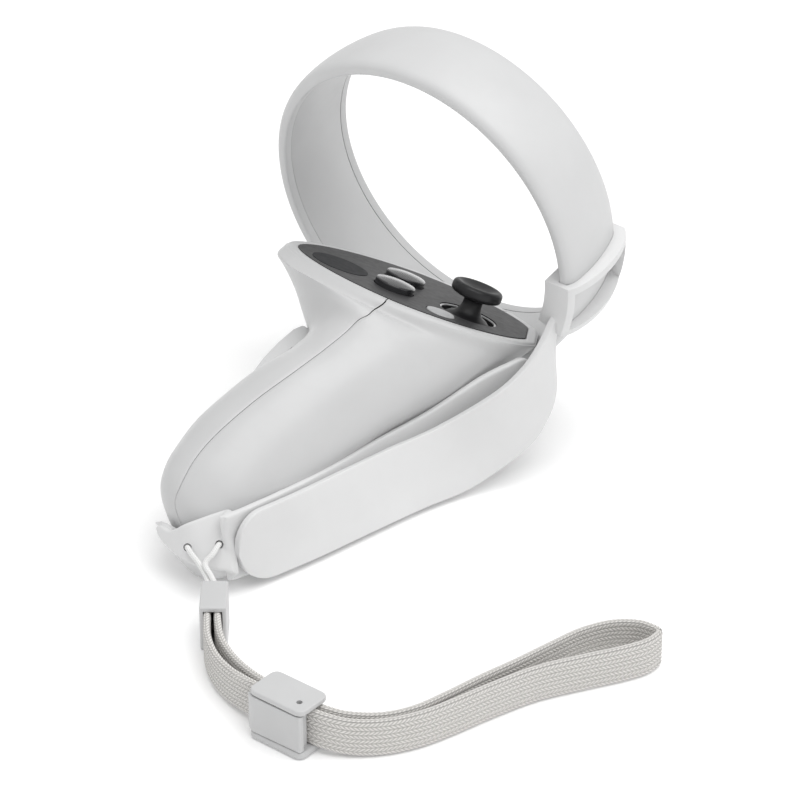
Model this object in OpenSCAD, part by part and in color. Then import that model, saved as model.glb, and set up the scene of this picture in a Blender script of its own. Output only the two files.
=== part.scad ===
// Right-hand motion controller with a halo tracking ring, a silicone knuckle strap and a wrist lanyard.
// Controller frame: origin at the foot of the thumbstick on the faceplate, +X to the right,
// +Y away from the user, +Z out of the faceplate. The finished object then lies on its side.

/* [Rest pose] */
// Roll of the controller as it lies on a table, about X
rest_roll = -18.7; // [-19.5:0.1:-18]
// Pitch of the controller as it lies, about Y
rest_pitch = 18; // [17.5:0.1:18.5]
// Turn of the controller as it lies, about Z
rest_turn = -11; // [-13:0.1:-9]

/* [Tracking ring] */
// Radius of the opening through the ring
ring_bore_r = 42.4; // [42:0.1:42.8]
// Width of the ring along its axis
ring_w = 24; // [23:0.5:25]
// Thickness of the ring at its rims
ring_edge_t = 3.2; // [3:0.1:3.4]
// Extra thickness in the middle of the band
ring_crown = 1.5; // [1.2:0.1:1.6]
// How much smaller the opening is at the far rim, in radius
ring_taper = 1.4; // [1.2:0.1:1.6]

/* [Head and grip] */
// Width of the white rim round the faceplate
rim_w = 2.8; // [2.4:0.1:3]
// Thickness of the faceplate
plate_t = 1.6; // [1.4:0.1:1.6]

/* [Controls] */
// Diameter of the two face buttons
button_d = 10.3; // [9.5:0.1:10.5]
// Diameter of the menu button
menu_d = 7.4; // [6.5:0.1:7.5]
// Diameter of the thumbstick cap
cap_d = 13; // [12:0.5:14]

/* [Strap] */
// Thickness of the silicone bands
band_t = 1.8; // [1.4:0.1:1.8]

/* [Lanyard] */
// Width of the braided tape
tape_w = 9.4; // [8.5:0.1:9.4]
// Thickness of the braided tape
tape_t = 1.7; // [1.4:0.1:1.7]
// Diameter of the thin cord
cord_d = 1.3; // [1:0.1:1.3]

/* [Hidden] */
$fn = 48;

shell_white = [0.86, 0.86, 0.87];
plate_grey = [0.30, 0.30, 0.31];
button_black = [0.10, 0.10, 0.11];
pale_grey = [0.78, 0.78, 0.78];
steel = [0.66, 0.67, 0.70];
board_green = [0.10, 0.32, 0.20];
silicone = [0.90, 0.90, 0.90];
braid_grey = [0.80, 0.79, 0.77];

// Fits
slide_gap = 0.2;
pin_gap = 0.05;
tiny = 0.01;

// Placing frames
rest_tilt = [rest_roll, rest_pitch, rest_turn];
rest_shift = [18.7, 7.2, 36.8];
table_shift = [18.7, 9.8, 0];
ring_centre = [-19.7, 5, 16.3];
ring_turn = [0, 53.4, 63.9];
grip_centre = [-22, -14, -22];
grip_lean = 44.5;
lean_axis = [-0.888, 0.46, 0] / norm([-0.888, 0.46, 0]);
module place() translate(rest_shift) rotate(rest_tilt) children();
module in_ring() place() translate(ring_centre) rotate(ring_turn) children();
module in_grip() place() translate(grip_centre) rotate(a = grip_lean, v = lean_axis) children();
module on_table() translate(table_shift) children();

// Smooth curves and sections
function cr(p0, p1, p2, p3, t) = 0.5 * (2 * p1 + (p2 - p0) * t
  + (2 * p0 - 5 * p1 + 4 * p2 - p3) * t * t + (3 * p1 - p0 - 3 * p2 + p3) * t * t * t);
function smooth_rows(rows, n) = let (last = len(rows) - 1) concat(
  [for (i = [0:last - 1]) for (k = [0:n - 1])
    cr(rows[max(i - 1, 0)], rows[i], rows[i + 1], rows[min(i + 2, last)], k / n)],
  [rows[last]]);
function spin(v, k, a) = v * cos(a) + cross(k, v) * sin(a) + k * (k * v) * (1 - cos(a));
function bend(x, e) = sign(x) * pow(abs(x), e);

// Solid between loops of equal length, closed by the first and last loops. A wall's loop runs
// along its outside and back along its inside, and its ends are closed across the wall.
module skin(loops, wall = false) {
  n = len(loops[0]);
  m = len(loops);
  end = wall ? [for (j = [0:n / 2 - 2]) each [[j, j + 1, n - 2 - j], [j, n - 2 - j, n - 1 - j]]] : [[for (j = [0:n - 1]) j]];
  polyhedron(
    points = [for (l = loops) for (p = l) p],
    faces = concat(
      end,
      [for (i = [0:m - 2]) for (j = [0:n - 1]) let (k = (j + 1) % n)
        [i * n + j, (i + 1) * n + j, (i + 1) * n + k]],
      [for (i = [0:m - 2]) for (j = [0:n - 1]) let (k = (j + 1) % n)
        [i * n + j, (i + 1) * n + k, i * n + k]],
      [for (f = end) [for (j = [len(f) - 1:-1:0]) (m - 1) * n + f[j]]]));
}

// ---------- tracking ring ----------
function ring_inside(z) = ring_bore_r - ring_taper * z / ring_w;
function ring_outside(off) = [for (k = [0:12]) let (s = k / 6 - 1)
  [ring_bore_r + ring_edge_t + off + ring_crown * (1 - s * s) - 0.9 * pow(abs(s), 10) - 1.9 * ring_taper * (s + 1) / 2,
   ring_w / 2 + s * (ring_w / 2 + off)]];
ring_skin_t = 1.3;
liner_t = 1;
lip_w = 2.4;
// Band that lies against the opening, from z to the same distance below the far rim
module band_profile(z, from, to) polygon([[ring_inside(z) + from, z], [ring_inside(z) + to, z],
  [ring_inside(ring_w - z) + to, ring_w - z], [ring_inside(ring_w - z) + from, ring_w - z]]);
module ring_outer_shell() color(shell_white) in_ring() rotate_extrude($fn = 96) difference() {
  polygon(concat([[ring_inside(0), 0]], ring_outside(0), [[ring_inside(ring_w), ring_w]]));
  polygon(concat([[ring_inside(ring_skin_t) + liner_t, ring_skin_t]], [for (k = [1:11]) ring_outside(-ring_skin_t)[k]],
    [[ring_inside(ring_w - ring_skin_t) + liner_t, ring_w - ring_skin_t]]));
  band_profile(lip_w, -1, liner_t + tiny);
}
module ring_inner_liner() color(shell_white) in_ring() rotate_extrude($fn = 96) band_profile(lip_w, 0, liner_t);
module led_flex_strip() color(board_green) in_ring() rotate_extrude($fn = 96) band_profile(6, liner_t, liner_t + 0.4);
// Saddle that joins the foot of the ring to the head
module ring_root() color(shell_white) in_ring() rotate([0, 0, -33.75]) rotate_extrude(angle = 67.5, $fn = 96)
  polygon([[33.5, 2], [ring_inside(1.6), 1.6], [ring_inside(12), 12], [39, 10], [36, 6], [33.5, 4.5]]);

// Room for the saddle in the plates inside the head
module root_room() in_ring() rotate([0, 0, -36]) rotate_extrude(angle = 72) translate([33.1, 0.5]) square([11, 13]);

// ---------- body shells ----------
// Middle (p, q, r), lean, half widths, pinch of the left end, wall, lift of the inside and angle of
// the near seam, for each cross-section from the faceplate down to the foot of the grip
BODY = [
  [-2.3, 0.1, 29.9, -44.5, 34.4, 25.4, 1, 2.8, 0, -102.5],
  [-2.1, 0.8, 28.9, -44.5, 34.9, 25.9, 1, 2.8, 0, -102.5],
  [-2.45, 2, 24.7, -40, 33.45, 24.6, 0.9, 1.8, 0, -101.5],
  [-1.25, 2, 17.9, -26, 29.15, 22.8, 0.6, 1.8, 0, -101.5],
  [0.55, 1.3, 10.3, -12, 23.25, 21.2, 0.3, 1.8, 0, -106.5],
  [2.38, 0, 3, -3, 17.52, 20, 0, 1.8, 0, -120.5],
  [0.87, -1, -7, 0, 15.73, 19, 0, 1.8, 0, -122],
  [-1.33, -1.4, -17, 0, 16.13, 18.4, 0, 1.8, 0, -118.5],
  [-2.69, -1.6, -28, 0, 16.29, 17.3, 0, 1.8, 0, -121.5],
  [-3.37, -1.7, -37.5, 0, 16.27, 16.2, 0, 1.8, 0, -124],
  [-3.37, -2.1, -45, 0, 15.57, 14.8, 0, 1.8, 0, -128],
  [-2.89, -3, -51, 0, 14.89, 12.4, 0, 1.8, 0, -130],
  [-1.83, -3.8, -56.5, 0, 13.33, 9.3, 0, 1.8, 0.4, -133.5],
  [-0.2, -3.8, -60, 0, 10.6, 7.2, 0, 1.8, 0.8, -145.5],
  [1.6, -2.9, -62.4, 0, 6.4, 5.4, 0, 1.8, 1.2, -145.5],
  [2.6, -2.5, -63.3, 0, 2.4, 2.2, 0, 1.4, 1.4, -145.5]];
far_seam = 45;
function lobe(a, b, pinch, u) = let (e = cos(u) < 0 ? 1 + 0.16 * pinch : 1)
  [min(a * bend(cos(u), e), a * (1 - 0.05 * pinch)), b * bend(sin(u), e), 0];
function body_point(row, u, inset, lift = 0) = [row[0], row[1], row[2] + lift]
  + spin(lobe(max(row[4] - inset, 0.4), max(row[5] - inset, 0.4), row[6], u), lean_axis, row[3]);
module half_shell(near_side) {
  steps = 22;
  skin([for (row = smooth_rows(BODY, 2)) let (a = near_side ? row[9] + 0.5 : far_seam, b = near_side ? far_seam - 0.5 : row[9] + 360)
    concat([for (k = [steps:-1:0]) body_point(row, a + (b - a) * k / steps, 0)],
      [for (k = [0:steps]) body_point(row, a + (b - a) * k / steps, row[7], row[8])])], wall = true);
}
trigger_w = 18;
trigger_mid = 1.5;
trigger_pivot = [15, 16];
grip_pivot = [12.5, 1.5];
grip_from = 125;
grip_sweep = 38;
module grip_shell() color(shell_white) in_grip() difference() {
  half_shell(false);
  translate([trigger_mid - trigger_w / 2 - 0.4, 10, -2.5]) cube([trigger_w + 0.8, 30, 23]);
  translate([0, -1, -17.8]) rotate([0, 0, grip_from - 2]) rotate_extrude(angle = grip_sweep + 4)
    translate([10, 0]) square([20, 22.4]);
}
module battery_cover() color(shell_white) in_grip() half_shell(true);

// ---------- faceplate and what it carries ----------
button_a_at = [-19.6, -2.5];
button_b_at = [-18, 10.6];
menu_at = [-6.6, -10.2];
thumb_at = [-34.3, 1.3];
thumb_r = 7.4;
stick_hole_r = 7;
trim_r = 7.6;
trim_t = 0.6;
stick_pivot_z = -9;
module plate_outline(inset) polygon([for (u = [0:6:354])
  let (p = lobe(BODY[0][4] - inset, BODY[0][5] - inset, 1, u)) [p[0] - 14.5, p[1] + 5]]);
module faceplate() color(plate_grey) place() difference() {
  translate([0, 0, -plate_t]) linear_extrude(plate_t) plate_outline(rim_w + 0.2);
  for (at = [button_a_at, button_b_at])
    translate([at[0], at[1], -5]) cylinder(d = button_d + 2 * slide_gap, h = 10);
  translate([menu_at[0], menu_at[1], -5]) cylinder(d = menu_d + 2 * slide_gap, h = 10);
  translate([0, 0, -5]) cylinder(r = stick_hole_r, h = 10);
  translate([0, 0, -trim_t]) cylinder(r = trim_r + tiny, h = 5);
  translate([thumb_at[0], thumb_at[1], -0.6]) cylinder(r = thumb_r + tiny, h = 5);
}
module thumb_rest() color([0.16, 0.16, 0.17]) place() translate([thumb_at[0], thumb_at[1], -0.6])
  cylinder(r = thumb_r - 0.05, h = 0.7);
module stick_trim_ring() color(pale_grey) place() translate([0, 0, -trim_t]) rotate_extrude()
  polygon([[6.6, 0], [trim_r - 0.05, 0], [trim_r - 0.05, 0.9], [7.1, 1.3], [6.6, 0.9]]);
module faceplate_ledge() color(shell_white) place() translate([0, 0, -plate_t - 1.6]) linear_extrude(1.6)
  difference() {
    plate_outline(rim_w + 0.8);
    plate_outline(rim_w + 2.4);
    translate(menu_at) circle(d = menu_d + 2.4);
  }
membrane_top = -4;
module button_membrane() color(pale_grey) difference() {
  place() {
    difference() {
      translate([0, 0, membrane_top - 0.6]) linear_extrude(0.6) plate_outline(7);
      translate([0, 0, -10]) cylinder(r = 10.2, h = 20);
    }
    for (at = [button_a_at, button_b_at, menu_at])
      translate([at[0], at[1], membrane_top - tiny]) cylinder(r1 = 2.2, r2 = 1.6, h = 0.25);
  }
  root_room();
}
module main_board() color(board_green) difference() {
  place() translate([0, 0, -6.4]) linear_extrude(1.2) plate_outline(8.5);
  place() translate([0, 0, -10]) cylinder(r = 10.6, h = 20);
  root_room();
}

// ---------- push buttons ----------
module push_button(at, d, proud, flange = 0.9) place() translate([at[0], at[1], 0]) rotate_extrude()
  polygon(concat([[0, -2.7], [d / 2 + flange, -2.7], [d / 2 + flange, -1.8], [d / 2, -1.8], [d / 2, proud - 0.9]],
    [for (k = [1:6]) [d / 2 * cos(k * 15), proud - 0.9 + 0.9 * sin(k * 15)]]));
module button_a() color(button_black) push_button(button_a_at, button_d, 2.2);
module button_b() color(button_black) push_button(button_b_at, button_d, 2.2);
module menu_button() color(pale_grey) push_button(menu_at, menu_d, 0.4, 0.25);

// ---------- thumbstick ----------
housing_half = 6.2;
housing_top = 0.8;
yoke_pin_r = 0.9;
cross_pin_r = 0.7;
shaft_r = 1.5;
skirt_r = 9.9;
module at_stick() place() translate([0, 0, stick_pivot_z]) children();
module along_x() rotate([0, 90, 0]) children();
module along_y() rotate([90, 0, 0]) children();
module stick_housing() color(button_black) at_stick() difference() {
  translate([-housing_half, -housing_half, -5.6]) cube([2 * housing_half, 2 * housing_half, 5.6 + housing_top]);
  translate([-5.1, -5.1, -4.6]) cube([10.2, 10.2, 10]);
  along_x() translate([0, 0, -10]) cylinder(r = yoke_pin_r + pin_gap, h = 20);
  translate([-5.1, -20, -1.2]) cube([10.2, 40, 10]);
}
module stick_yoke() color(steel) at_stick() {
  difference() {
    translate([-4.6, -4, -1.1]) cube([9.2, 8, 2.2]);
    translate([-3.5, -2.9, -5]) cube([7, 5.8, 10]);
    along_y() translate([0, 0, -10]) cylinder(r = cross_pin_r + pin_gap, h = 20);
  }
  for (side = [-1, 1]) along_x() translate([0, 0, side > 0 ? 4.5 : -housing_half])
    cylinder(r = yoke_pin_r, h = housing_half - 4.5);
}
module stick_cross() color(button_black) at_stick() difference() {
  union() {
    translate([-2.5, -2.2, -1.1]) cube([5, 4.4, 2.2]);
    along_y() translate([0, 0, -4]) cylinder(r = cross_pin_r, h = 8);
  }
  translate([0, 0, -5]) cylinder(r = shaft_r + pin_gap, h = 10);
}
skirt_deg = 66;
module stick_shaft() color(button_black) at_stick() {
  translate([0, 0, -2.6]) cylinder(r = shaft_r, h = 14.5);
  rotate_extrude() union() {
    polygon(concat([for (a = [8:7:skirt_deg]) [skirt_r * sin(a), skirt_r * cos(a)]], [[skirt_r * sin(skirt_deg), skirt_r * cos(skirt_deg)]],
      [for (a = [skirt_deg:-7:8]) [(skirt_r - 0.8) * sin(a), (skirt_r - 0.8) * cos(a)]], [[(skirt_r - 0.8) * sin(8), skirt_r - 0.9]]));
    polygon([[0, 8.6], [1.9, 8.6], [4.6, 8.4], [3.1, 9.8], [2.3, 11.2], [2.1, 13], [0, 13]]);
  }
}
module stick_cap() color(button_black) at_stick() rotate_extrude()
  polygon([[0, 13.05], [2.15, 13.05], [3.2, 13.3], [5.2, 13.6], [cap_d / 2 - 0.3, 14.1], [cap_d / 2, 14.5],
    [cap_d / 2, 16.1], [cap_d / 2 - 0.3, 16.6], [cap_d / 2 - 1, 16.8], [4.4, 16.6], [3, 16.1], [1.5, 15.8], [0, 15.7]]);

// ---------- trigger and grip button ----------
pin_r = 1.2;
module trigger_profile() polygon([[11.8, 15], [12.4, 18.2], [15, 19.4], [18.6, 18.8], [22.4, 17], [25, 13.4], [26.3, 8.6],
  [26.8, 4], [27.4, 0.4], [28.2, -2.2], [27.7, -3.5], [26, -3.2], [24.2, -0.6], [22.6, 3], [19.4, 9], [15.4, 12.4]]);
module trigger() color(shell_white) in_grip() difference() {
  translate([trigger_mid - trigger_w / 2, 0, 0]) rotate([90, 0, 90]) linear_extrude(trigger_w) trigger_profile();
  translate([trigger_mid - 20, trigger_pivot[0], trigger_pivot[1]]) along_x() cylinder(r = pin_r + pin_gap, h = 40);
}
module trigger_pin() color(steel) in_grip() translate([trigger_mid - 12.3, trigger_pivot[0], trigger_pivot[1]])
  along_x() cylinder(r = pin_r, h = 24.6);
module at_grip_pivot() in_grip() translate([0, -1, 0]) rotate([0, 0, grip_from + grip_sweep / 2])
  translate([grip_pivot[0], 0, grip_pivot[1]]) children();
module grip_button() color(shell_white) difference() {
  in_grip() translate([0, -1, 0]) rotate([0, 0, grip_from]) rotate_extrude(angle = grip_sweep)
    polygon([[14.4, -17.2], [18.2, -17.2], [19.1, -15], [19.7, -10], [19.7, -4], [19.1, 1.6], [18, 4], [10.6, 4], [10.6, -0.6], [13, -1], [16.2, -3]]);
  at_grip_pivot() along_y() translate([0, 0, -20]) cylinder(r = pin_r + pin_gap, h = 40);
}
module grip_pin() color(steel) at_grip_pivot() along_y() translate([0, 0, -5.4]) cylinder(r = pin_r, h = 10.8);

// Round wire wound on a cylinder, from one end to the other
module coil(r, wire, turns, length, taper = 0) {
  per_turn = 10;
  side = [[1, 0], [0, -1], [-1, 0], [0, 1]];
  skin([for (k = [0:turns * per_turn]) let (a = k * 360 / per_turn, rr = r - taper * k / (turns * per_turn))
    [for (s = side) let (e = rr + s[0] * wire / 2) [e * cos(a), e * sin(a), length * k / (turns * per_turn) + s[1] * wire / 2]]]);
}
module trigger_spring() color(steel) in_grip() translate([trigger_mid + 10.8, trigger_pivot[0], trigger_pivot[1]])
  along_x() coil(1.8, 0.5, 3, 1.3);
module grip_spring() color(steel) in_grip() translate([0, -1, -11]) rotate([0, 0, grip_from + grip_sweep / 2])
  translate([8, 0, 0]) along_x() coil(1.8, 0.5, 4, 6.6);

// ---------- power pack and inner structure ----------
cell_r = 7.1;
cell_at = [-1.2, -3.4];
cell_low = -53;
cell_h = 49;
module in_cell() in_grip() translate([cell_at[0], cell_at[1], cell_low]) children();
module battery() color([0.55, 0.56, 0.58]) in_cell() {
  cylinder(r = cell_r, h = cell_h);
  translate([0, 0, cell_h - tiny]) cylinder(r = 2.7, h = 1.2);
}
module battery_sled() color([0.20, 0.20, 0.21]) in_cell() {
  rotate_extrude(angle = 180) translate([cell_r + 0.2, 0]) square([1.1, cell_h + 2]);
}
module battery_spring() color(steel) in_cell() translate([0, 0, -3.2]) coil(3.6, 0.6, 3, 2.9, 1.4);
module battery_contact() color(steel) in_cell() translate([-4, -4, cell_h + 1.25]) cube([8, 8, 0.5]);
module inner_frame() color([0.20, 0.20, 0.21]) {
  difference() {
    place() translate([0, 0, -7.6]) linear_extrude(1.1) plate_outline(9.5);
    place() translate([0, 0, -10]) cylinder(r = 10.6, h = 20);
    root_room();
  }
  in_grip() for (side = [-1, 1]) difference() {
    translate([trigger_mid + side * 9.9 - 0.6, 12.8, 13.8]) cube([1.2, 3.8, 4.4]);
    translate([trigger_mid - 20, trigger_pivot[0], trigger_pivot[1]]) along_x() cylinder(r = pin_r + tiny, h = 40);
  }
}
module haptic_motor() color(steel) in_grip() translate([-7, 5.4, -34]) cube([11, 3.6, 20]);
module shell_screws() color(steel) in_grip() for (at = [[7, 5.5, -14], [7, 5.5, -40]]) translate(at) {
  cylinder(r = 1, h = 7);
  translate([0, 0, 7 - tiny]) cylinder(r = 1.8, h = 1.2);
}

// ---------- knuckle strap ----------
sleeve_from = -93.75;
sleeve_sweep = 20.625;
sleeve_bar = 2.6;
sleeve_bulge = 1.8;
sleeve_lip = 3.2;
// C-shaped section that hugs the band of the ring from outside and swells over its middle
module clip_profile(t) difference() {
  polygon(concat([[ring_inside(0) - sleeve_lip, -t]],
    [for (k = [0:12]) let (s = k / 6 - 1) ring_outside(t)[k] + [sleeve_bulge * (1 - s * s) * (1 + 0.4 * s), 0]],
    [[ring_inside(ring_w) - 1.4, ring_w + t]]));
  polygon(concat([[ring_inside(0) - 0.04, -0.02]], ring_outside(0.02), [[ring_inside(ring_w) - 0.04, ring_w + 0.02]]));
  band_profile(5, -5, 0.05);
}
module strap_sleeve() color(silicone) in_ring() difference() {
  rotate([0, 0, sleeve_from]) rotate_extrude(angle = sleeve_sweep, $fn = 96) clip_profile(1.4);
  rotate([0, 0, sleeve_from + sleeve_bar]) rotate_extrude(angle = sleeve_sweep - 2 * sleeve_bar, $fn = 96)
    translate([36, 0.2]) square([20, ring_w - 0.8]);
}
// Lower edge of the outer band and the vector across it, from the ring to the free end
OUTER = [
  [ 20.5,   3.0,  -2.5,   0.5, -11.5, 14.5],
  [ 24.6,   0.0,  -5.5,  -5.0, -10.2, 13.8],
  [ 27.0,  -4.0, -11.0,  -8.1,  -9.0, 12.8],
  [ 27.2,  -6.5, -17.0, -10.2,  -8.9, 12.0],
  [ 25.1,  -9.0, -24.5, -12.5,  -8.6, 11.5],
  [ 16.2, -13.8, -37.3, -13.4,  -7.1, 12.6],
  [  6.4, -22.6, -44.9, -13.0,  -5.9, 12.5],
  [ -3.5, -34.1, -52.2, -11.5,  -5.8, 13.5],
  [-14.2, -46.8, -60.1,  -9.5,  -5.8, 15.0],
  [-27.0, -60.5, -68.8,  -7.6,  -5.8, 16.2]];
// Distance of the inner band behind the outer one and its rise along the width, from row 2 down
BEHIND = [[4.5, 0.05], [5, 0.08], [5.5, 0.2], [4.4, 0.2], [3.4, 0.18], [2.8, 0.13], [2.6, 0.1], [2.6, 0.08]];
BOOT_END = [
  [-29.6, -63.5, -65.1,  -7.1,   3.1, 13.0],
  [-38.3, -63.8, -66.6,  -5.7,   2.0,  8.6],
  [-44.7, -59.8, -66.7,  -2.8,   1.1,  4.4],
  [-50.5, -55.4, -65.5,  -0.6,   0.7,  3.0]];
function vec(row, i) = [row[i], row[i + 1], row[i + 2]];
function middle(row) = vec(row, 0) + vec(row, 3) / 2;
function face(rows, i) = let (f = cross(middle(rows[min(i + 1, len(rows) - 1)]) - middle(rows[max(i - 1, 0)]), vec(rows[i], 3)))
  f / norm(f);
INNER = concat([for (i = [2:9]) let (b = BEHIND[i - 2], low = vec(OUTER[i], 0) + face(OUTER, i) * b[0] + vec(OUTER[i], 3) * b[1])
  concat(low, vec(OUTER[i], 3) * 0.94)], BOOT_END);
function ribbon(rows, n, t, round_start, round_end) = let (
    s = smooth_rows(rows, n), m = len(s), mid = [for (r = s) middle(r)])
  [for (i = [0:m - 1]) let (
      f = face(s, i), w = vec(s[i], 3), c = 0.2 * t,
      from_start = norm(mid[i] - mid[0]), from_end = norm(mid[m - 1] - mid[i]),
      start_k = from_start < round_start ? sqrt(max(0.03, 1 - pow(1 - from_start / round_start, 2))) : 1,
      end_k = from_end < round_end ? sqrt(max(0.03, 1 - pow(1 - from_end / round_end, 2))) : 1,
      h = w / 2 * start_k * end_k, q = h * (1 - 2 * c / norm(w)))
    [mid[i] + h + f * (t / 2 - c), mid[i] + q + f * t / 2, mid[i] - q + f * t / 2, mid[i] - h + f * (t / 2 - c),
     mid[i] - h - f * (t / 2 - c), mid[i] - q - f * t / 2, mid[i] + q - f * t / 2, mid[i] + h - f * (t / 2 - c)]];
module strap_outer_band() color(silicone) difference() {
  place() skin(ribbon(OUTER, 5, band_t, 0, 9));
  in_ring() rotate_extrude($fn = 96)
    polygon(concat([[ring_inside(0) - 0.05, -0.03]], ring_outside(0.03), [[ring_inside(ring_w) - 0.05, ring_w + 0.03]]));
}
module strap_inner_band() color(silicone) place() skin(ribbon(INNER, 4, band_t, 8, 3));
// Hook-and-loop pad between the bands near the foot of the grip
PAD = [for (i = [5:8]) let (low = vec(OUTER[i], 0) + face(OUTER, i) * 1.35 + vec(OUTER[i], 3) * 0.14)
  concat(low, vec(OUTER[i], 3) * 0.76)];
module hook_pad() color([0.80, 0.80, 0.80]) place() skin(ribbon(PAD, 5, 0.5, 4, 4));
// Cup under the foot of the grip: middle, half widths and tilt of its sections, inside then outside
CUP = [
  [2.8, -2.6, -63.9,  0.5,  0.5, 0],
  [2.2, -3.1, -63.2,  6.9,  6.2, 0],
  [1.3, -4.1, -61.0,  9.9,  7.6, 0.2],
  [1.2, -4.4, -57.8, 11.6,  9.8, 0.5],
  [1.2, -4.4, -57.6, 12.9, 11.1, 0.5],
  [1.3, -4.3, -61.6, 11.6,  8.9, 0.2],
  [2.2, -3.8, -64.3,  8.6,  6.9, 0.1],
  [3.0, -2.7, -65.7,  5.4,  5.4, 0],
  [3.0, -2.7, -65.9,  0.6,  0.6, 0]];
// Half space beyond a plane, given by its normal and its distance from the controller's origin
module beyond(n, d) place() rotate(a = acos(n[2]), v = [-n[1], n[0], 0]) translate([-60, -60, d]) cube([120, 120, 60]);
// Round bar from one point to another
module bar(from, to, r) let (d = to - from) translate(from) rotate(a = acos(d[2] / norm(d)), v = [-d[1], d[0], 0])
  cylinder(r = r, h = norm(d), $fn = 16);
module strap_boot() color(silicone) difference() {
  in_grip() skin([for (row = CUP) [for (k = [0:35]) let (p = row[3] * cos(k * 10))
    [row[0] + p, row[1] - row[4] * sin(k * 10), row[2] + row[5] * p]]]);
  beyond([0.003, -0.974, 0.2265], 43.7);
  beyond([-0.5376, -0.8325, -0.134], 80.9);
  on_table() bar([-68.5, -68.1, 10.1], [-58, -69.7, 12.1], 1.5);
}

// ---------- wrist lanyard, lying on the table ----------
tape_z = 4.8;
// Route of each run of tape: hand-laid points on the table
NEAR_RUN = [[-61, -90, 5.7], [-61, -97, 5.7], [-60.5, -104, 5.3], [-58.4, -111, 5], [-54.8, -117.6, 5.4], [-50, -123.4, 6.2],
  [-44.6, -128.2, 6.7], [-39.4, -132.4, 6.7], [-34.4, -135.6, 6.2], [-28, -137, 5.2], [-20.5, -136.4, 4.8], [-12.6, -133.6, 4.8],
  [-5, -128.8, 4.8], [3, -123, 4.8], [13.5, -116.3, 4.8], [24.5, -111.8, 4.8], [33, -108.6, 4.8], [38.6, -105.8, 4.8],
  [41.4, -102.8, 4.8]];
FAR_RUN = [[-58.6, -90, 5.7], [-58.6, -97, 5.7], [-57.6, -104, 5.3], [-55.4, -109.8, 5], [-52.4, -115.6, 5.4], [-48.4, -121.6, 6.2],
  [-43.4, -126.6, 6.7], [-38.1, -130.9, 6.7], [-33.2, -133.6, 6.2], [-28, -134.4, 5.2], [-20.8, -134.1, 4.8], [-13.6, -131.4, 4.8],
  [-6.4, -126, 4.8], [1, -119.8, 4.8], [9, -113.6, 4.8], [17.4, -106.6, 4.8], [24, -101.4, 4.8], [31, -98.2, 4.8],
  [37.4, -98.2, 4.8], [41.2, -100.6, 4.8]];
module tape(route, t) on_table() {
  pts = smooth_rows(route, 2);
  m = len(pts);
  h = tape_w / 2;
  skin([for (i = [0:m - 1]) let (
      d = pts[min(i + 1, m - 1)] - pts[max(i - 1, 0)], f = [d[1], -d[0], 0] / norm([d[0], d[1], 0]), e = t / 2, up = [0, 0, 1])
    [pts[i] + f * e * 0.6 + up * h, pts[i] + f * e + up * (h - 0.6), pts[i] + f * e - up * (h - 0.6), pts[i] + f * e * 0.6 - up * h,
     pts[i] - f * e * 0.6 - up * h, pts[i] - f * e - up * (h - 0.6), pts[i] - f * e + up * (h - 0.6), pts[i] - f * e * 0.6 + up * h]]);
}
module lanyard_near_run() color(braid_grey) tape(NEAR_RUN, tape_t);
module lanyard_far_run() color(braid_grey) tape(FAR_RUN, tape_t);
module lanyard_crimp() color(pale_grey) on_table() difference() {
  translate([-62.8, -96.4, 0]) cube([6.2, 11.6, 11.6]);
  translate([-61.95, -97, 0.95]) cube([4.45, 10.9, 9.6]);
  for (x = [-60.6, -59]) translate([x, -85, 8]) along_y() cylinder(r = 0.85, h = 4, center = true);
}
// The thin cord leaves the crimp, passes in through one eyelet, behind the band, and back out
CORD = [[-60.6, -87.6, 8], [-60.6, -84.4, 8.1], [-61.9, -79.5, 8.6], [-63.9, -75.3, 9.9], [-65.6, -73.6, 11.3],
  [-66.6, -72.2, 12.2], [-66.8, -70.9, 11.7], [-66.8, -69.4, 10.85], [-66.5, -68.3, 10.3], [-65.2, -68.3, 10.4], [-61, -69.4, 11.5],
  [-59.5, -69.9, 12.05], [-59.3, -70.4, 12.3], [-59.3, -71.6, 12.95], [-59.5, -72.9, 13.5], [-60.6, -75, 12.6],
  [-62.4, -76.6, 10.8], [-60.9, -80, 9.6], [-59, -84.4, 8.1], [-59, -87.6, 8]];
module lanyard_cord() color([0.95, 0.95, 0.95]) on_table() {
  pts = smooth_rows(CORD, 4);
  m = len(pts);
  skin([for (i = [0:m - 1]) let (d = pts[min(i + 1, m - 1)] - pts[max(i - 1, 0)], t = d / norm(d),
      f = cross(t, [0, 0, 1]) / norm(cross(t, [0, 0, 1])), g = cross(t, f))
    [for (k = [0:7]) pts[i] + (f * cos(k * 45) + g * sin(k * 45)) * cord_d / 2]]);
}
slider_turn = -39;
module at_slider() on_table() translate([-41.4, -130.6, 0]) rotate([0, 0, slider_turn]) children();
module slider_plate(l, w) linear_extrude(1.2) polygon([for (c = [[1, 1], [-1, 1], [-1, -1], [1, -1]])
  for (k = [0:5]) let (a = (c[0] > 0 ? (c[1] > 0 ? 0 : 270) : (c[1] > 0 ? 90 : 180)) + k * 18) [c[0] * (l / 2 - 2) + 2 * cos(a), c[1] * (w / 2 - 2) + 2 * sin(a)]]);
module slider_frame() color(pale_grey) at_slider() difference() {
  union() {
    slider_plate(15.5, 9.6);
    translate([0, 0, 11.5]) slider_plate(15.5, 9.6);
    for (x = [-6.2, 4.8]) translate([x, -2.3, 1]) cube([1.4, 1.2, 10.7]);
  }
  translate([4.6, -1.6, 8]) cylinder(r = 0.7, h = 10);
}
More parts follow.
